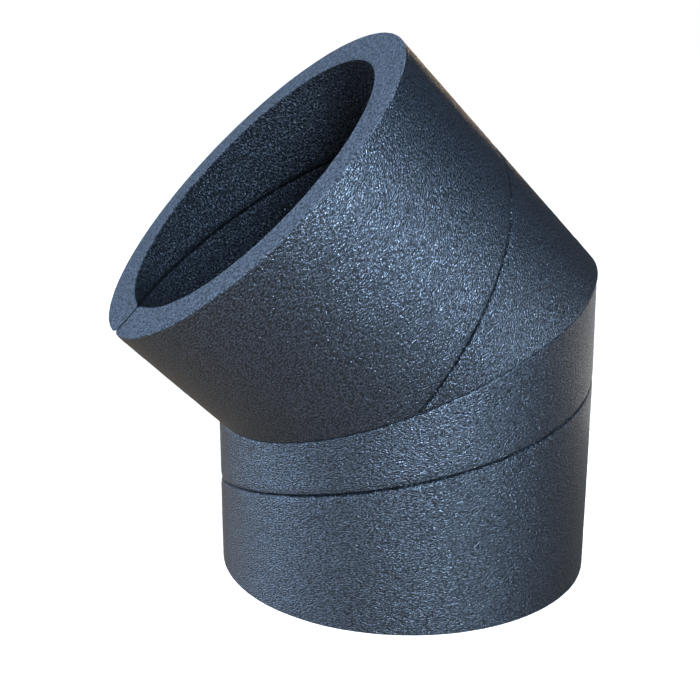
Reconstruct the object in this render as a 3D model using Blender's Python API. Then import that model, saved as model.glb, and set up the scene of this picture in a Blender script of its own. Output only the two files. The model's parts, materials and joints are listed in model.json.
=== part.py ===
# Pipe insulation elbow: a 45 degree bend of closed-cell foam that slips over a round duct.
#
# The blank is a tube wound from a flat foam strip whose edges are welded along a
# right-hand helix. The tube is sawn through once at half the bend angle, one half is
# turned by half a turn about the normal of the cut, and the two faces are welded together.
#
# Metres, +Z up. The lower leg stands on its square-cut end and the upper leg leans
# towards -X. The origin is on the floor, under the middle of the bounding box.

import math

import bmesh
import bpy
from mathutils import Matrix, Vector

# Driving dimensions
BORE_DIAMETER = 0.125  # slips over a 125 mm duct
WALL = 0.015
BEND = math.radians(45.0)
LOWER_LENGTH = 0.0965  # floor to the middle of the mitre, along the lower axis
UPPER_LENGTH = 0.0922  # middle of the mitre to the open end, along the upper axis
STRIP_WIDTH = 0.100  # the flat strip that the tube is wound from
SEAM_HEIGHT = 0.0910  # the welded seam above the floor, on the lower leg's +X side
MITRE_LOSS = 0.0045  # length of tube lost to the saw and to the weld
MITRE_GAP = 0.0003  # clearance between the two legs' cut faces

# The welded seam is a groove with rounded shoulders, in both skins of the wall
OUTER_GROOVE_DEPTH = 0.0016
OUTER_GROOVE_REACH = 0.0036  # from the bottom of the groove to its shoulder, along the axis
BORE_GROOVE_DEPTH = 0.0010
BORE_GROOVE_REACH = 0.0026
GROOVE_CURVE = ((0.0, 1.0), (0.3, 0.4), (1.0, 0.0))  # share of the reach, share of the depth

STEPS_PER_TURN = 72
MERGE_DISTANCE = 0.00001
CUT_TOLERANCE = 0.000001

# Derived dimensions
BORE_RADIUS = BORE_DIAMETER / 2
OUTER_RADIUS = BORE_RADIUS + WALL
WOUND_RADIUS = BORE_RADIUS + WALL / 2
STRIP_SLOPE = STRIP_WIDTH / (2 * math.pi * WOUND_RADIUS)
PITCH = STRIP_WIDTH / math.sqrt(1 - STRIP_SLOPE**2)  # rise of the seam in one turn
MITRE = BEND / 2
MITRE_RISE = OUTER_RADIUS * math.tan(MITRE)  # how far the mitre climbs from axis to skin

SKIN_COLOUR = (0.045, 0.061, 0.085, 1.0)
SKIN_ROUGHNESS = 0.55


def clear_scene():
    for thing in list(bpy.data.objects):
        bpy.data.objects.remove(thing, do_unlink=True)


def foam_material(name):
    material = bpy.data.materials.new(name)
    material.use_nodes = True
    shader = material.node_tree.nodes["Principled BSDF"]
    shader.inputs["Base Color"].default_value = SKIN_COLOUR
    shader.inputs["Roughness"].default_value = SKIN_ROUGHNESS
    shader.inputs["Metallic"].default_value = 0.0
    return material


def strip_line(radius, groove_depth, groove_reach):
    # Points across the strip from one seam to the next, seen in the XZ plane
    half = [
        (radius - depth_share * groove_depth, reach_share * groove_reach)
        for reach_share, depth_share in GROOVE_CURVE
    ]
    far_half = [(r, PITCH - along) for r, along in reversed(half)]
    return [Vector((r, 0.0, along)) for r, along in half + far_half]


def wind_skin(mesh, radius, groove_depth, groove_reach, seam_start, low, high):
    # Winds one skin of the tube from below `low` to above `high`; the seam passes the
    # +X side at `seam_start`
    first_turn = math.floor((low - seam_start) / PITCH) - 2
    start = seam_start + first_turn * PITCH
    turns = math.ceil((high - start) / PITCH) + 1
    line = strip_line(radius, groove_depth, groove_reach)
    points = [mesh.verts.new(point + Vector((0.0, 0.0, start))) for point in line]
    edges = [mesh.edges.new(pair) for pair in zip(points, points[1:])]
    bmesh.ops.spin(
        mesh,
        geom=points + edges,
        cent=(0.0, 0.0, 0.0),
        axis=(0.0, 0.0, 1.0),
        dvec=(0.0, 0.0, PITCH / STEPS_PER_TURN),
        angle=turns * 2 * math.pi,
        steps=turns * STEPS_PER_TURN,
    )


def cut_end(mesh, point, normal):
    # Takes off what lies beyond the plane and closes the ring that the cut leaves
    everything = mesh.verts[:] + mesh.edges[:] + mesh.faces[:]
    cut = bmesh.ops.bisect_plane(
        mesh,
        geom=everything,
        dist=CUT_TOLERANCE,
        plane_co=point,
        plane_no=normal,
        clear_outer=True,
    )
    rims = [item for item in cut["geom_cut"] if isinstance(item, bmesh.types.BMEdge)]
    bmesh.ops.triangle_fill(mesh, use_beauty=True, edges=rims, normal=normal)


def wound_leg(name, seam_start, low_cut, high_cut, low, high):
    # One leg about its own Z axis; each cut is a point on its plane and the plane's
    # normal, which points out of the leg
    mesh = bmesh.new()
    wind_skin(
        mesh, OUTER_RADIUS, OUTER_GROOVE_DEPTH, OUTER_GROOVE_REACH, seam_start, low, high
    )
    wind_skin(
        mesh, BORE_RADIUS, -BORE_GROOVE_DEPTH, BORE_GROOVE_REACH, seam_start, low, high
    )
    bmesh.ops.remove_doubles(mesh, verts=mesh.verts[:], dist=MERGE_DISTANCE)
    cut_end(mesh, *low_cut)
    cut_end(mesh, *high_cut)
    bmesh.ops.recalc_face_normals(mesh, faces=mesh.faces[:])

    data = bpy.data.meshes.new(name)
    mesh.to_mesh(data)
    mesh.free()
    data.shade_smooth()
    data.set_sharp_from_angle(angle=math.radians(30.0))
    data.materials.append(foam_material(name + "_foam"))
    leg = bpy.data.objects.new(name, data)
    bpy.context.scene.collection.objects.link(leg)
    return leg


def make_lower_leg():
    mitre_normal = Vector((-math.sin(MITRE), 0.0, math.cos(MITRE)))
    mitre_point = Vector((0.0, 0.0, LOWER_LENGTH)) - mitre_normal * MITRE_GAP / 2
    floor_cut = (Vector((0.0, 0.0, 0.0)), Vector((0.0, 0.0, -1.0)))
    return wound_leg(
        "lower_leg",
        SEAM_HEIGHT,
        floor_cut,
        (mitre_point, mitre_normal),
        low=0.0,
        high=LOWER_LENGTH + MITRE_RISE,
    )


def make_upper_leg():
    # About its own axis the mitre runs the other way, because the half turn that makes
    # the bend brings the tube's far side round to the back
    mitre_normal = Vector((-math.sin(MITRE), 0.0, -math.cos(MITRE)))
    mitre_point = -mitre_normal * MITRE_GAP / 2
    open_cut = (Vector((0.0, 0.0, UPPER_LENGTH)), Vector((0.0, 0.0, 1.0)))
    seam_start = SEAM_HEIGHT - LOWER_LENGTH + PITCH / 2 - MITRE_LOSS
    leg = wound_leg(
        "upper_leg",
        seam_start,
        (mitre_point, mitre_normal),
        open_cut,
        low=-MITRE_RISE,
        high=UPPER_LENGTH,
    )
    leg.location = (0.0, 0.0, LOWER_LENGTH)
    leg.rotation_euler = (0.0, -BEND, 0.0)
    return leg


def stand_on_origin(legs):
    # Carries the legs on one empty that puts the middle of their bounding box at X = 0
    stand = bpy.data.objects.new("elbow", None)
    bpy.context.scene.collection.objects.link(stand)
    bpy.context.view_layer.update()
    across = [(leg.matrix_world @ v.co).x for leg in legs for v in leg.data.vertices]
    stand.location = (-(min(across) + max(across)) / 2, 0.0, 0.0)
    for leg in legs:
        leg.parent = stand
        leg.matrix_parent_inverse = Matrix.Identity(4)
    bpy.context.view_layer.update()


clear_scene()
stand_on_origin([make_lower_leg(), make_upper_leg()])
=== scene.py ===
# Pipe insulation elbow: the finish of a spirally wound foam bend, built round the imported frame.
import json
import math

import bmesh
import bpy
import numpy as np
from mathutils import Matrix, Vector


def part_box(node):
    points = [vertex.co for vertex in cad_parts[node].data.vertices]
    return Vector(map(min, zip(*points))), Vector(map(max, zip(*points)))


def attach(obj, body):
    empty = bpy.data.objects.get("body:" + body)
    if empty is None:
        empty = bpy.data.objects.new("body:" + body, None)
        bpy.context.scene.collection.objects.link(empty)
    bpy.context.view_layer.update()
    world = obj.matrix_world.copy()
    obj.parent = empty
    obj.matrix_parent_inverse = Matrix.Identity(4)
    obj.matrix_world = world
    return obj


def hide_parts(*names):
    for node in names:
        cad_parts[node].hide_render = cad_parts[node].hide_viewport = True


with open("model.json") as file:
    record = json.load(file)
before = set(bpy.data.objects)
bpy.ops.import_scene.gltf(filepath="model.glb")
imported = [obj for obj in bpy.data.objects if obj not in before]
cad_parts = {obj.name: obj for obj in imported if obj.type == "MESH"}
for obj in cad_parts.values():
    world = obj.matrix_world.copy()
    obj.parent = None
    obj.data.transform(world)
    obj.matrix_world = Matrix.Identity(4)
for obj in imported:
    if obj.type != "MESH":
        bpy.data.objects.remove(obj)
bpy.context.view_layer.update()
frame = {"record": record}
mm = 0.001

# Sizes that the frame gives
mounts = {mount["name"]: mount for mount in frame["record"]["mounts"]}
lowerLow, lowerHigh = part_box("lower_leg")
outerRadius = (lowerHigh.y - lowerLow.y) / 2
midWallRadius = mounts["lower_end"]["pos_m"][1]  # the mount's point is in the middle of the wall
boreRadius = 2 * midWallRadius - outerRadius
lowerFoot = Vector(((lowerLow.x + lowerHigh.x) / 2, 0, lowerLow.z))
upperAxis = Vector(mounts["upper_end"]["axis"]).normalized()
upperEnd = Vector(mounts["upper_end"]["pos_m"]) * Vector((1, 0, 1))
bend = math.atan2(-upperAxis.x, upperAxis.z)
upperLength = (lowerFoot.x - upperEnd.x) / math.sin(bend)
lowerLength = upperEnd.z - upperLength * math.cos(bend) - lowerFoot.z
mitre = bend / 2
mitreRise = outerRadius * math.tan(mitre)

# The tube before it was cut. The strip runs up it as a right-hand helix.
tube = {
    "stripWidth": 100 * mm,
    "seamHeight": 91 * mm,  # of the welded seam on the lower leg's +X side
    "mitreLoss": 4.5 * mm,  # tube used up by the saw and the weld
    "outerGroove": (0.55 * mm, 3.8 * mm),  # depth and reach of the groove along the seam
    "boreGroove": (0.75 * mm, 3.6 * mm),
    "slit": (0.9 * mm, 0.7 * mm),  # depth and reach of the dark line at its bottom
    "upperPitchShare": 0.975,  # the strip was wound a little closer in the upper leg's half
    "meetingTurn": 9,  # both windings meet one part in so many of a turn before the +X side
}
stripSlope = tube["stripWidth"] / (2 * math.pi * midWallRadius)
evenPitch = tube["stripWidth"] / math.sqrt(1 - stripSlope**2)  # rise of the seam in one turn

# What the strip's skin does between the seams
skinRelief = {
    "wrinkleHeight": 0.3 * mm,
    "wrinkleWidth": 1.5 * mm,
    "outerStretch": (2.0, 1.0),  # outside, the bent strip is pulled: its wrinkles run along it
    "boreStretch": (1.0, 1.9),  # inside, it is squeezed: they run across it
    "waveHeight": 0.25 * mm,
    "waveWidth": 26 * mm,
    "noiseDepth": 1,
}

# The cut ends and the mitre
cuts = {
    "rimRounding": 0.45 * mm,
    "rimFlat": 0.2 * mm,  # a narrow border that keeps the sawn face flat up to its rims
    "mitreRounding": 0.7 * mm,
    "mitreGap": 0.03 * mm,
    "weldDraw": (0.9 * mm, 40 * mm),  # the weld draws the lower leg's +X side in: depth and reach
    "ringSeamDepth": 0.9 * mm,
    "ringSeamWidth": 1.5 * mm,
    "sawnReach": 1.02,  # share of an open rim's rounding that is sawn foam, a hair past its end
    "sawnLean": 0.1,  # a face of it leans at least this much towards the cut
}

# The mesh: its spacing, its finish, and how near a point has to be to count as in place
meshing = {
    "outerCell": (1.45 * mm, 0.76 * mm),  # spacing along and across the strip
    "boreCell": (1.7 * mm, 1.0 * mm),
    "fineRows": 2.5,  # rows on each side of the weld that are split again
    "fineCuts": 2,
    "rimSteps": 5,  # the cuts along which a rim is turned in
    "smoothAngle": 35,  # degrees; the shading stays sharp along a tighter edge
    "mergeDistance": 0.02 * mm,
    "onLevel": 0.001 * mm,
    "onLine": 0.01 * mm,
    "onPlane": 0.02 * mm,
    "cutTolerance": 0.001 * mm,
    "ringCutTolerance": 0.0001 * mm,
}


def linear(hexColour):
    # An sRGB hex colour as Blender's linear colour
    shares = [int(hexColour[i : i + 2], 16) / 255 for i in (1, 3, 5)]
    return [s / 12.92 if s <= 0.04045 else ((s + 0.055) / 1.055) ** 2.4 for s in shares] + [1.0]


def setInputs(owner, node, inputs):
    # An input is a value or another node's output
    for name, value in inputs.items():
        if isinstance(value, bpy.types.NodeSocket):
            owner.node_tree.links.new(value, node.inputs[name])
        else:
            node.inputs[name].default_value = value


def addNode(owner, kind, settings, inputs):
    # One node of a material or a world
    node = owner.node_tree.nodes.new("ShaderNode" + kind)
    for name, value in settings.items():
        setattr(node, name, value)
    setInputs(owner, node, inputs)
    return node


def newMaterial(name):
    material = bpy.data.materials.new(name)
    material.use_nodes = True
    return material, material.node_tree.nodes["Principled BSDF"]


# Closed-cell polyethylene foam, extruded as a strip. Its skin shrinks as it cools and is drawn
# into fine glossy wrinkles, so the eye sees a near-black blue-grey full of small glints.
outerSkin = {
    "stretch": skinRelief["outerStretch"],
    # From pit to ridge the tone is the skin's random grain; the pits' near-black is painted shade
    "pitShadeColour": "#020303",
    "ridgeColour": "#2d3137",
    "toneSpan": (0.355, 0.44),  # of the wrinkles, cells and painted weld shade together, from pit to ridge
    "wrinkleWidth": 0.47 * mm,
    "wrinkleTwist": 0.5,
    "wrinkleSpan": (0.4, 0.6),  # of the wrinkles alone, from pit to ridge
    "noiseDetail": 1.0,
    "cellWidth": 0.62 * mm,  # drawn coarser than the real 0.2 mm cells, which wouldn't show
    "cellWeight": -0.3,  # against the wrinkles: a cell's border is a pit and its middle bulges
    "puckerWidth": 0.9 * mm,  # short creases across the strip, drawn in by the weld
    "puckerLength": 4.0 * mm,
    "puckerReach": 6.0 * mm,
    "puckerWeight": 0.85,
    # Shade painted along the weld: how far it reaches and how dark it is
    "paintedWeldShadeReach": 0.8 * mm,
    "paintedWeldShadeStrength": 0.17,  # darkness of the painted weld shade, on the same scale as the tone
    "reliefHeight": 0.45 * mm,
    # Gloss low in the pits and high on the ridges: painted shade in the pits
    "pitShadeGloss": 0.75,
    "ridgeGloss": 1.42,
    "pitRoughness": 0.45,
    "ridgeRoughness": 0.3,
    "ior": 1.5,
}
# In the bore the same skin is squeezed together, so its wrinkles run across it, it is rougher and its
# pits are deeper. Its darker ridges and lower gloss are painted shade, for the inside of the tube
shadedBoreSkin = dict(
    outerSkin,
    stretch=skinRelief["boreStretch"],
    wrinkleWidth=0.56 * mm,
    cellWidth=0.8 * mm,
    # darker than outside: painted shade
    ridgeColour="#282c32",
    toneSpan=(0.385, 0.46),
    reliefHeight=0.85 * mm,
    # lower gloss than outside: painted shade
    pitShadeGloss=0.23,
    ridgeGloss=0.82,
    pitRoughness=0.7,
    ridgeRoughness=0.35,
)


def makeFoamSkin(name, finish):
    material, shader = newMaterial(name)
    alongStretch, acrossStretch = finish["stretch"]
    lowTone, highTone = finish["toneSpan"]
    lowWrinkle, highWrinkle = finish["wrinkleSpan"]
    strip = addNode(material, "UVMap", {"uv_map": "strip"}, {}).outputs["UV"]
    across = addNode(material, "SeparateXYZ", {}, {"Vector": strip}).outputs["Y"]
    wrinkles = addNode(
        material, "TexNoise", {"noise_dimensions": "2D"},
        {"Vector": strip, "Scale": 1 / finish["wrinkleWidth"], "Detail": finish["noiseDetail"],
         "Distortion": finish["wrinkleTwist"]},
    ).outputs["Fac"]
    cells = addNode(
        material, "TexVoronoi", {"voronoi_dimensions": "2D"},
        {"Vector": strip, "Scale": 1 / finish["cellWidth"]},
    ).outputs["Distance"]
    evenSpeckle = addNode(
        material, "Math", {"operation": "MULTIPLY_ADD"},
        {0: cells, 1: finish["cellWeight"], 2: wrinkles},
    ).outputs[0]
    # Painted shade: a continuous thin dark line along the weld, in tone and gloss, where the bottom of
    # its groove lies in shade
    paintedWeldShade = addNode(
        material, "MapRange", {},
        {"Value": across, "From Min": -finish["paintedWeldShadeReach"] / acrossStretch, "From Max": 0.0,
         "To Min": 0.0, "To Max": -finish["paintedWeldShadeStrength"]},
    ).outputs["Result"]
    grainAndPaintedShade = addNode(
        material, "Math", {"operation": "ADD"}, {0: evenSpeckle, 1: paintedWeldShade}
    ).outputs[0]
    # Below the weld the skin is drawn into short creases, which catch the light as relief only
    nearWeld = addNode(
        material, "MapRange", {"interpolation_type": "SMOOTHSTEP"},
        {"Value": across, "From Min": -finish["puckerReach"] / acrossStretch, "From Max": 0.0},
    ).outputs["Result"]
    puckerScale = (alongStretch / finish["puckerWidth"], acrossStretch / finish["puckerLength"], 1)
    puckerPlace = addNode(
        material, "Mapping", {"vector_type": "POINT"}, {"Vector": strip, "Scale": puckerScale}
    ).outputs["Vector"]
    everyPucker = addNode(
        material, "TexNoise", {"noise_dimensions": "2D"},
        {"Vector": puckerPlace, "Scale": 1.0, "Detail": finish["noiseDetail"]},
    ).outputs["Fac"]
    puckers = addNode(
        material, "Math", {"operation": "MULTIPLY"}, {0: everyPucker, 1: nearWeld}
    ).outputs[0]
    relief = addNode(
        material, "Math", {"operation": "MULTIPLY_ADD"},
        {0: puckers, 1: finish["puckerWeight"], 2: grainAndPaintedShade},
    ).outputs[0]
    bump = addNode(
        material, "Bump", {}, {"Height": relief, "Strength": 1.0, "Distance": finish["reliefHeight"]}
    )
    # The tone follows the skin's random grain, with its pits painted near black as shade
    tone = addNode(material, "ValToRGB", {}, {"Fac": grainAndPaintedShade})
    tones = ((lowTone, finish["pitShadeColour"]), (highTone, finish["ridgeColour"]))
    for end, (place, colour) in zip(tone.color_ramp.elements, tones):
        end.position = place
        end.color = linear(colour)
    # A ridge is pulled smooth and a pit beside it is rougher. The gloss, low in the pits and high on
    # the ridges, paints shade into the pits
    roughness = addNode(
        material, "MapRange", {},
        {"Value": wrinkles, "From Min": lowWrinkle, "From Max": highWrinkle,
         "To Min": finish["pitRoughness"], "To Max": finish["ridgeRoughness"]},
    )
    gloss = addNode(
        material, "MapRange", {},
        {"Value": grainAndPaintedShade, "From Min": lowTone, "From Max": highTone,
         "To Min": finish["pitShadeGloss"], "To Max": finish["ridgeGloss"]},
    )
    setInputs(material, shader, {
        "Base Color": tone.outputs["Color"],
        "Normal": bump.outputs["Normal"],
        "Roughness": roughness.outputs["Result"],
        "Specular IOR Level": gloss.outputs["Result"],
        "IOR": finish["ior"],
    })
    return material


# The same foam sawn across: open cells with no skin, so it is matt, paler and finely grained
sawnFoam = {
    "cellColour": "#0b0d0f",
    "wallColour": "#5a5b5e",
    "toneSpan": (0.43, 0.57),
    "cellWidth": 0.85 * mm,
    "noiseDetail": 3.0,
    "reliefHeight": 0.4 * mm,
    "roughness": 0.85,
}


def makeSawnFoam():
    material, shader = newMaterial("sawnPolyethyleneFoam")
    place = addNode(material, "TexCoord", {}, {}).outputs["Object"]
    cells = addNode(
        material, "TexNoise", {},
        {"Vector": place, "Scale": 1 / sawnFoam["cellWidth"], "Detail": sawnFoam["noiseDetail"]},
    ).outputs["Fac"]
    bump = addNode(
        material, "Bump", {},
        {"Height": cells, "Strength": 1.0, "Distance": sawnFoam["reliefHeight"]},
    )
    tone = addNode(material, "ValToRGB", {}, {"Fac": cells})
    tones = zip(sawnFoam["toneSpan"], (sawnFoam["cellColour"], sawnFoam["wallColour"]))
    for end, (place, colour) in zip(tone.color_ramp.elements, tones):
        end.position = place
        end.color = linear(colour)
    setInputs(material, shader, {
        "Base Color": tone.outputs["Color"],
        "Normal": bump.outputs["Normal"],
        "Roughness": sawnFoam["roughness"],
    })
    return material


skinMaterial = makeFoamSkin("extrudedPolyethyleneFoamSkin", outerSkin)
shadedBoreMaterial = makeFoamSkin("squeezedPolyethyleneFoamSkin", shadedBoreSkin)
sawnMaterial = makeSawnFoam()
shadedBoreIndex, sawnIndex = 1, 2  # their places in a leg's list of materials, after the skin
print("foam materials made")


def deselectAll():
    if bpy.context.object and bpy.context.object.mode != "OBJECT":
        bpy.ops.object.mode_set(mode="OBJECT")
    bpy.ops.object.select_all(action="DESELECT")


def pick(*pieces):
    deselectAll()
    for piece in pieces:
        piece.select_set(True)
    bpy.context.view_layer.objects.active = pieces[0]


def selectInEdit(piece, wanted, kind="verts"):
    # Selects what passes the test; the piece is in edit mode already
    mesh = bmesh.from_edit_mesh(piece.data)
    for things in (mesh.verts, mesh.edges, mesh.faces):
        for thing in things:
            thing.select = False
    found = 0
    for thing in getattr(mesh, kind):
        if wanted(thing):
            thing.select_set(True)
            found += 1
    mesh.select_flush_mode()
    bmesh.update_edit_mesh(piece.data)
    return found


def windSkin(name, radius, groove, cell, seamStart, pitch, low, high):
    # One line across the strip, from seam to seam, wound up the tube
    alongCell, acrossCell = cell
    start = seamStart + (math.floor((low - seamStart) / pitch) - 1) * pitch
    turns = math.ceil((high - start) / pitch)
    rows = round(pitch / acrossCell)
    deselectAll()
    bpy.ops.mesh.primitive_grid_add(
        x_subdivisions=1, y_subdivisions=rows, size=pitch, rotation=(math.pi / 2, 0, 0)
    )
    skin = bpy.context.object
    skin.name = name
    bpy.ops.object.transform_apply(location=False, rotation=True, scale=False)
    bpy.ops.object.mode_set(mode="EDIT")
    bpy.ops.mesh.select_mode(type="VERT")
    selectInEdit(skin, lambda v: v.co.x > 0)
    bpy.ops.mesh.delete(type="VERT")

    def nearWeld(edge):
        fromWeld = min(pitch / 2 - abs(v.co.z) for v in edge.verts)
        return fromWeld < meshing["fineRows"] * acrossCell

    def onWeld(vert):
        return min(vert.co.z - start, start + pitch - vert.co.z) < meshing["onLevel"]

    selectInEdit(skin, nearWeld, "edges")
    bpy.ops.mesh.subdivide(number_cuts=meshing["fineCuts"])
    bpy.ops.mesh.select_all(action="SELECT")
    bpy.ops.transform.translate(value=(radius + pitch / 2, 0, start + pitch / 2))
    selectInEdit(skin, onWeld)
    inwards = -1 if radius > midWallRadius else 1
    for depth, reach in (groove, tube["slit"]):
        bpy.ops.transform.translate(
            value=(inwards * depth, 0, 0),
            use_proportional_edit=True,
            proportional_edit_falloff="SHARP",
            proportional_size=reach,
        )
    bpy.ops.object.mode_set(mode="OBJECT")
    winding = skin.modifiers.new("winding", "SCREW")
    winding.axis = "Z"
    winding.angle = 2 * math.pi
    winding.screw_offset = pitch
    winding.iterations = turns
    winding.steps = winding.render_steps = round(2 * math.pi * radius / alongCell)
    bpy.ops.object.modifier_apply(modifier=winding.name)
    bpy.ops.object.mode_set(mode="EDIT")
    bpy.ops.mesh.select_all(action="SELECT")
    bpy.ops.mesh.remove_doubles(threshold=meshing["mergeDistance"])
    bpy.ops.mesh.normals_make_consistent(inside=False)
    bpy.ops.object.mode_set(mode="OBJECT")
    face = skin.data.polygons[len(skin.data.polygons) // 2]
    facesOut = face.normal.dot(face.center * Vector((1, 1, 0))) > 0
    if facesOut != (radius > midWallRadius):
        bpy.ops.object.mode_set(mode="EDIT")
        bpy.ops.mesh.flip_normals()
        bpy.ops.object.mode_set(mode="OBJECT")
    return skin


def readMesh(things, name, width=1, kind=float):
    # One number or one vector of each vertex, corner or face
    values = np.empty(len(things) * width, dtype=kind)
    things.foreach_get(name, values)
    return values.reshape(-1, width) if width > 1 else values


def mapStrip(skin, radius, seamStart, pitch, stretch):
    # Unrolls the skin in metres, U along the strip and V across it, from the weld above down,
    # each shortened by the wrinkles' stretch, so that a round pattern comes out drawn that way
    risePerRadian = pitch / (2 * math.pi)
    data = skin.data
    counts = readMesh(data.polygons, "loop_total", kind=int)
    centres = np.repeat(readMesh(data.polygons, "center", 3), counts, axis=0)
    turn = np.arctan2(centres[:, 1], centres[:, 0])
    lap = np.floor((centres[:, 2] - seamStart - risePerRadian * turn) / pitch)
    at = readMesh(data.vertices, "co", 3)[readMesh(data.loops, "vertex_index", kind=int)]
    angle = np.arctan2(at[:, 1], at[:, 0])
    angle += 2 * np.pi * np.round((turn - angle) / (2 * np.pi))
    along = (angle + 2 * np.pi * lap) * radius
    across = at[:, 2] - seamStart - risePerRadian * angle - (lap + 1) * pitch
    layer = data.uv_layers.new(name="strip")
    unrolled = np.stack([along / stretch[0], across / stretch[1]], 1)
    layer.uv.foreach_set("vector", unrolled.astype(np.float32).ravel())


def crumple(skin, name, noiseSize, height, coordinates):
    # Presses the skin in by up to the height, never out past the tube's own size
    noise = bpy.data.textures.new(name, "CLOUDS")
    noise.noise_basis = "ORIGINAL_PERLIN"
    noise.noise_scale = noiseSize
    noise.noise_depth = skinRelief["noiseDepth"]
    relief = skin.modifiers.new(name, "DISPLACE")
    relief.texture = noise
    relief.texture_coords = coordinates
    if coordinates == "UV":
        relief.uv_layer = "strip"
    relief.mid_level = 1.0
    relief.strength = height
    pick(skin)
    bpy.ops.object.modifier_apply(modifier=relief.name)


def bisectSkin(skin, point, normal, clear):
    pick(skin)
    bpy.ops.object.mode_set(mode="EDIT")
    bpy.ops.mesh.select_all(action="SELECT")
    bpy.ops.mesh.bisect(
        plane_co=point, plane_no=normal, clear_outer=clear, use_fill=False,
        threshold=meshing["cutTolerance"],
    )
    bpy.ops.object.mode_set(mode="OBJECT")


def cutAndRound(skin, point, normal, rounding, outward):
    # Saws the skin off at the plane, then turns its rim in over the rounding
    bisectSkin(skin, point, normal, True)
    steps = meshing["rimSteps"]
    for step in range(1, steps + 1):
        inset = rounding * (1 - math.cos(step / steps * math.pi / 2))
        bisectSkin(skin, point - normal * inset, normal, False)
    data = skin.data
    places = readMesh(data.vertices, "co", 3)
    inset = (np.array(point) - places) @ np.array(normal)
    share = np.clip(1 - inset / rounding, 0, 1)
    turnIn = rounding * (1 - np.sqrt(np.clip(1 - share**2, 0, 1)))
    distance = np.hypot(places[:, 0], places[:, 1])
    scale = 1 - outward * turnIn / distance
    places[:, 0] *= scale
    places[:, 1] *= scale
    # A mitre leans, so a point that moved in goes back up or down to the plane it was on
    drift = (np.array(point) - places) @ np.array(normal) - inset
    places[:, 2] += drift / normal.z
    data.vertices.foreach_set("co", places.ravel())
    data.update()


def drawIn(skin, point, normal, depth, reach):
    # Narrows the +X side of a skin towards its mitre, as the weld's heat shrinks it there
    for vert in skin.data.vertices:
        share = 1 - (point - vert.co).dot(normal) / reach
        distance = math.hypot(vert.co.x, vert.co.y)
        side = max(0, vert.co.x / distance)
        scale = 1 - depth * min(1, max(0, share)) * side**2 / distance
        vert.co.x *= scale
        vert.co.y *= scale


def closeRim(leg, point, normal, rounding, seamAngle):
    # Closes the wall at one end with the sawn face. An open end has a seam angle, and there the
    # rounded rims are sawn foam too.
    def farthest(thing):
        return max(abs((vert.co - point).dot(normal)) for vert in thing.verts)

    def onCut(edge):
        return edge.is_boundary and farthest(edge) < meshing["onPlane"]

    def onRounding(face):
        inReach = meshing["onLine"] < farthest(face) < cuts["sawnReach"] * rounding
        leans = abs(face.normal.dot(normal)) > cuts["sawnLean"]
        return face.material_index < sawnIndex and inReach and leans

    pick(leg)
    bpy.ops.object.mode_set(mode="EDIT")
    bpy.ops.mesh.select_mode(type="EDGE")
    selectInEdit(leg, onCut, "edges")
    bpy.ops.mesh.fill(use_beauty=True)
    bpy.ops.mesh.select_mode(type="FACE")
    leg.active_material_index = sawnIndex
    bpy.ops.object.material_slot_assign()
    bpy.ops.mesh.inset(thickness=cuts["rimFlat"], use_even_offset=False)
    if seamAngle is not None:
        openRingSeam(leg, point, normal, seamAngle)
        bpy.ops.mesh.select_mode(type="FACE")
        selectInEdit(leg, onRounding, "faces")
        leg.active_material_index = sawnIndex
        bpy.ops.object.material_slot_assign()
    bpy.ops.mesh.select_mode(type="VERT")
    bpy.ops.object.mode_set(mode="OBJECT")


def openRingSeam(leg, point, normal, seamAngle):
    # The weld shows on the sawn face as a thin line from the bore to the outside: a shallow groove
    # whose faces carry the bore skin's dark material as painted shade
    outwards = Vector((math.cos(seamAngle), math.sin(seamAngle), 0))
    sideways = Vector((-math.sin(seamAngle), math.cos(seamAngle), 0))

    def onRing(face):
        inPlane = max(abs((v.co - point).dot(normal)) for v in face.verts) < meshing["onPlane"]
        return inPlane and face.calc_center_median().dot(outwards) > 0

    def onLine(vert):
        inPlane = abs((vert.co - point).dot(normal)) < meshing["onPlane"]
        nearLine = abs(vert.co.dot(sideways)) < meshing["onLine"]
        return inPlane and nearLine and vert.co.dot(outwards) > 0

    def inSeam(face):
        middle = face.calc_center_median()
        nearPlane = abs((middle - point).dot(normal)) < cuts["ringSeamDepth"]
        nearLine = abs(middle.dot(sideways)) < cuts["ringSeamWidth"] / 2
        return face.material_index == sawnIndex and nearPlane and nearLine and middle.dot(outwards) > 0

    for offset in (-1, 0, 1):
        selectInEdit(leg, onRing, "faces")
        bpy.ops.mesh.bisect(
            plane_co=sideways * offset * cuts["ringSeamWidth"] / 2, plane_no=sideways,
            threshold=meshing["ringCutTolerance"],
        )
    bpy.ops.mesh.select_mode(type="VERT")
    linePoints = selectInEdit(leg, onLine)
    bpy.ops.transform.translate(value=-normal * cuts["ringSeamDepth"])
    bpy.ops.mesh.select_mode(type="FACE")
    print("ring seam drawn:", linePoints, "points,", selectInEdit(leg, inSeam, "faces"), "faces")
    # The seam's faces take the bore skin's darker material: painted shade in the groove
    leg.active_material_index = shadedBoreIndex
    bpy.ops.object.material_slot_assign()


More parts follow.
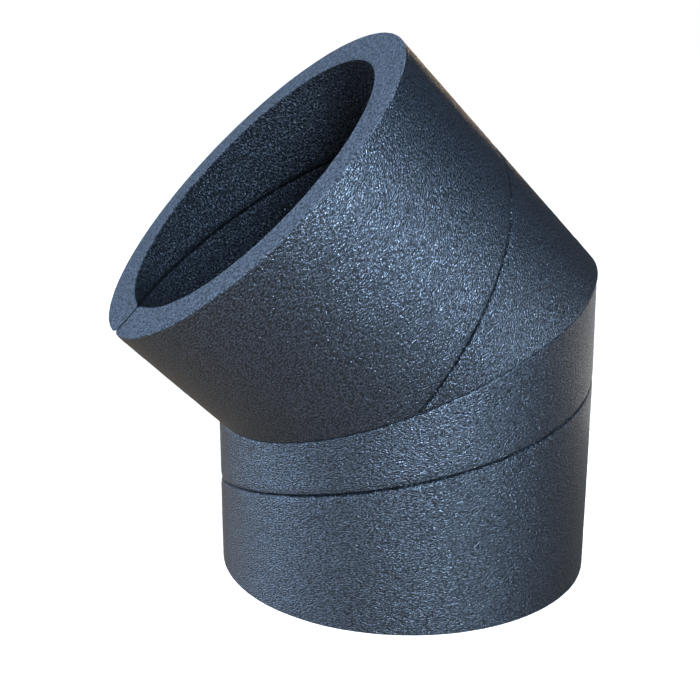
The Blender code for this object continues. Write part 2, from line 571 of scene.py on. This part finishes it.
def makeLeg(name, seamStart, pitch, low, high, lowCut, highCut, weldDraw=None):
    # One leg about its own axis. A cut is a point on its plane, the normal that points out of the
    # leg, and the rounding of its rims.
    outer = windSkin(
        name, outerRadius, tube["outerGroove"], meshing["outerCell"], seamStart, pitch, low, high
    )
    inner = windSkin(
        name + "Bore", boreRadius, tube["boreGroove"], meshing["boreCell"], seamStart, pitch, low,
        high,
    )
    mapStrip(outer, outerRadius, seamStart, pitch, skinRelief["outerStretch"])
    mapStrip(inner, boreRadius, seamStart, pitch, skinRelief["boreStretch"])
    ridgeAndValley = 2 * skinRelief["wrinkleWidth"]
    for skin in (outer, inner):
        crumple(skin, "wave", skinRelief["waveWidth"], skinRelief["waveHeight"], "LOCAL")
        crumple(skin, "wrinkle", ridgeAndValley, skinRelief["wrinkleHeight"], "UV")
    if weldDraw:
        drawIn(outer, highCut[0], highCut[1], *weldDraw)
    for skin, outward in ((outer, 1), (inner, -1)):
        for point, normal, rounding in (lowCut, highCut):
            cutAndRound(skin, point, normal, rounding, outward)
    outer.data.materials.append(skinMaterial)
    # The bore takes the skin's copy with painted shade
    inner.data.materials.append(shadedBoreMaterial)
    pick(outer, inner)
    bpy.ops.object.join()
    outer.data.materials.append(sawnMaterial)
    for point, normal, rounding in (lowCut, highCut):
        isOpen = normal.x == 0  # the mitre leans, the open ends are square
        seamAngle = (point.z - seamStart) / pitch * 2 * math.pi if isOpen else None
        closeRim(outer, point, normal, rounding, seamAngle)
    return outer


mitreUp = Vector((-math.sin(mitre), 0, math.cos(mitre)))
lowerLeg = makeLeg(
    "lowerLeg",
    tube["seamHeight"],
    evenPitch,
    0.0,
    lowerLength + mitreRise,
    (Vector((0, 0, 0)), Vector((0, 0, -1)), cuts["rimRounding"]),
    (Vector((0, 0, lowerLength)) - mitreUp * cuts["mitreGap"] / 2, mitreUp, cuts["mitreRounding"]),
    cuts["weldDraw"],
)
mitreDown = Vector((-math.sin(mitre), 0, -math.cos(mitre)))
upperPitch = evenPitch * tube["upperPitchShare"]
upperSeam = tube["seamHeight"] - lowerLength + evenPitch / 2 - tube["mitreLoss"]
upperLeg = makeLeg(
    "upperLeg",
    upperSeam - (evenPitch - upperPitch) / tube["meetingTurn"],
    upperPitch,
    -mitreRise,
    upperLength,
    (-mitreDown * cuts["mitreGap"] / 2, mitreDown, cuts["mitreRounding"]),
    (Vector((0, 0, upperLength)), Vector((0, 0, 1)), cuts["rimRounding"]),
)
print("legs wound, cut and closed:", len(lowerLeg.data.polygons), len(upperLeg.data.polygons), "faces")

# Each leg goes to its place, and its place into its mesh
lowerLeg.location = lowerFoot
upperLeg.location = lowerFoot + Vector((0, 0, lowerLength))
upperLeg.rotation_euler = (0, -bend, 0)
pick(lowerLeg, upperLeg)
bpy.ops.object.transform_apply(location=True, rotation=True, scale=True)
for leg in (lowerLeg, upperLeg):
    pick(leg)
    bpy.ops.object.shade_smooth_by_angle(angle=math.radians(meshing["smoothAngle"]))

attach(lowerLeg, "root")
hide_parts("lower_leg")
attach(upperLeg, "root")
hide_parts("upper_leg")

# The floor is a matt pale light table: it glows, so the shadows on it stay pale
table = {
    "radius": 30.0,
    "sides": 128,
    "drop": 0.2 * mm,  # below the foot, so that the two faces don't share a plane
    "colour": "#d6cabb",
    "roughness": 0.9,
    "glowColour": "#ffffff",
    "glow": 0.85,
}
deselectAll()
bpy.ops.mesh.primitive_circle_add(
    vertices=table["sides"], radius=table["radius"], fill_type="NGON", location=(0, 0, -table["drop"])
)
floor = bpy.context.object
floor.name = "floor"
floorPaint, paint = newMaterial("floorPaint")
setInputs(floorPaint, paint, {
    "Base Color": linear(table["colour"]),
    "Roughness": table["roughness"],
    "Emission Color": linear(table["glowColour"]),
    "Emission Strength": table["glow"],
})
floor.data.materials.append(floorPaint)
floor.visible_diffuse = False  # its glare is kept off the dark foam, as by a black card
floor.visible_glossy = False
print("floor laid")

studio = {
    "white": "#ffffff",  # behind the elbow, for the camera only
    "tableGlow": "#a29e99",  # what the elbow sees below it, and above
    "roomGlow": "#454a52",
    "riseSpan": 0.35,  # sine of the elevation, down and up, over which one turns into the other
    "wallGlow": "#b39f84",  # the warm wall behind, which the far rims of the skin reflect
    "wallSpan": (0.72, 1.0),  # cosine of the angle from straight behind, from its edge inwards
    "leftShare": 1.1,  # of all three, on the window's side
    "rightShare": 0.45,
    "sideSpan": 0.8,  # as the rise's, from left to right
    "aimHeight": 0.1,  # of the point that the lamps face
    "sunDistance": 2,
    "windowPlace": (-117, 21),  # azimuth from the front and elevation, in degrees
    "windowStrength": 5.6,
    "windowWidth": 60,  # degrees, as seen from the object
    "windowColour": "#aed2ff",
    "boxPlace": (-4, 26),
    "boxDistance": 0.7,  # near, so that the upper leg gets more of it than the lower one
    "boxPower": 12.9,
    "boxSize": 0.19,
    "boxColour": "#b6d8ff",
    "rimPlace": (149, 3),
    "rimStrength": 0.12,
    "rimWidth": 12,
    "rimColour": "#ffdcb0",
    # A white card low on the right behind: only the top of the lower leg reflects it
    "cardPlace": Vector((245, 15, 50)) * mm,
    "cardFacing": Vector((-0.85, -0.4, 0.1)),
    "cardSize": (220 * mm, 100 * mm),
    "cardPower": 0.064,
}
world = bpy.data.worlds.new("studio")
world.use_nodes = True
around = addNode(world, "TexCoord", {}, {}).outputs["Generated"]
heading = addNode(world, "SeparateXYZ", {}, {"Vector": around}).outputs
rise = addNode(
    world, "MapRange", {},
    {"Value": heading["Z"], "From Min": -studio["riseSpan"], "From Max": studio["riseSpan"]},
).outputs["Result"]
behind = addNode(
    world, "MapRange", {},
    {"Value": heading["Y"], "From Min": studio["wallSpan"][0], "From Max": studio["wallSpan"][1]},
).outputs["Result"]
dim = addNode(
    world, "MapRange", {},
    {"Value": heading["X"], "From Min": -studio["sideSpan"], "From Max": studio["sideSpan"],
     "To Min": studio["leftShare"], "To Max": studio["rightShare"]},
).outputs["Result"]
upAndDown = addNode(
    world, "Mix", {"data_type": "RGBA"},
    {0: rise, 6: linear(studio["tableGlow"]), 7: linear(studio["roomGlow"])},
).outputs[2]
allRound = addNode(
    world, "Mix", {"data_type": "RGBA"}, {0: behind, 6: upAndDown, 7: linear(studio["wallGlow"])}
).outputs[2]
fill = addNode(world, "Background", {}, {"Color": allRound, "Strength": dim}).outputs[0]
white = addNode(world, "Background", {}, {"Color": linear(studio["white"])}).outputs[0]
seen = addNode(world, "LightPath", {}, {}).outputs["Is Camera Ray"]
shown = addNode(world, "MixShader", {}, {0: seen, 1: fill, 2: white}).outputs[0]
world.node_tree.links.new(shown, world.node_tree.nodes["World Output"].inputs["Surface"])
bpy.context.scene.world = world


def towards(place):
    # The direction from the elbow to an azimuth from the front and an elevation, in degrees
    azimuth, elevation = math.radians(place[0]), math.radians(place[1])
    return Vector((
        math.sin(azimuth) * math.cos(elevation),
        -math.cos(azimuth) * math.cos(elevation),
        math.sin(elevation),
    ))


def addLight(name, place, strength, width, colour):
    # A soft light far away; its width is the angle that it covers, in degrees
    direction = towards(place)
    bpy.ops.object.light_add(type="SUN", location=direction * studio["sunDistance"] + aim)
    light = bpy.context.object
    light.name = name
    light.data.energy = strength
    light.data.angle = math.radians(width)
    light.data.color = linear(colour)[:3]
    light.rotation_mode = "QUATERNION"
    light.rotation_quaternion = (-direction).to_track_quat("-Z", "Y")


def addPanel(name, place, facing, size, power, colour):
    # A glowing panel near the elbow, kept out of the picture
    bpy.ops.object.light_add(type="AREA", location=place)
    panel = bpy.context.object
    panel.name = name
    panel.data.shape = "RECTANGLE"
    panel.data.size, panel.data.size_y = size
    panel.data.energy = power
    panel.data.color = linear(colour)[:3]
    panel.rotation_mode = "QUATERNION"
    panel.rotation_quaternion = facing.to_track_quat("-Z", "Y")
    panel.visible_camera = False


aim = Vector((0, 0, studio["aimHeight"]))
boxDirection = towards(studio["boxPlace"])
addPanel(
    "box", boxDirection * studio["boxDistance"] + aim, -boxDirection,
    (studio["boxSize"], studio["boxSize"]), studio["boxPower"], studio["boxColour"],
)
addPanel(
    "card", studio["cardPlace"], studio["cardFacing"], studio["cardSize"], studio["cardPower"],
    studio["white"],
)
for lamp in ("window", "rim"):
    addLight(
        lamp, studio[lamp + "Place"], studio[lamp + "Strength"], studio[lamp + "Width"],
        studio[lamp + "Colour"],
    )
print("room and lamps set")

view = {
    "azimuth": -20.37,  # degrees round from the front, towards the open end
    "elevation": 14.6,
    "roll": -0.13,
    "distance": 518.0 * mm,
    "aim": Vector((-1.7, 60.4, 79.65)) * mm,  # from the foot of the lower leg's axis
    "lens": 56.93,
    "clipStart": 10 * mm,
}
bpy.ops.object.camera_add()
camera = bpy.context.object
back = towards((view["azimuth"], view["elevation"]))
level = (-back).to_track_quat("-Z", "Y")
roll = Matrix.Rotation(math.radians(view["roll"]), 3, -back).to_quaternion()
camera.rotation_mode = "QUATERNION"
camera.rotation_quaternion = roll @ level
camera.location = lowerFoot + view["aim"] + back * view["distance"]
camera.data.lens = view["lens"]
camera.data.clip_start = view["clipStart"]
bpy.context.scene.camera = camera
bpy.context.scene.view_settings.view_transform = "Standard"
print("camera set")
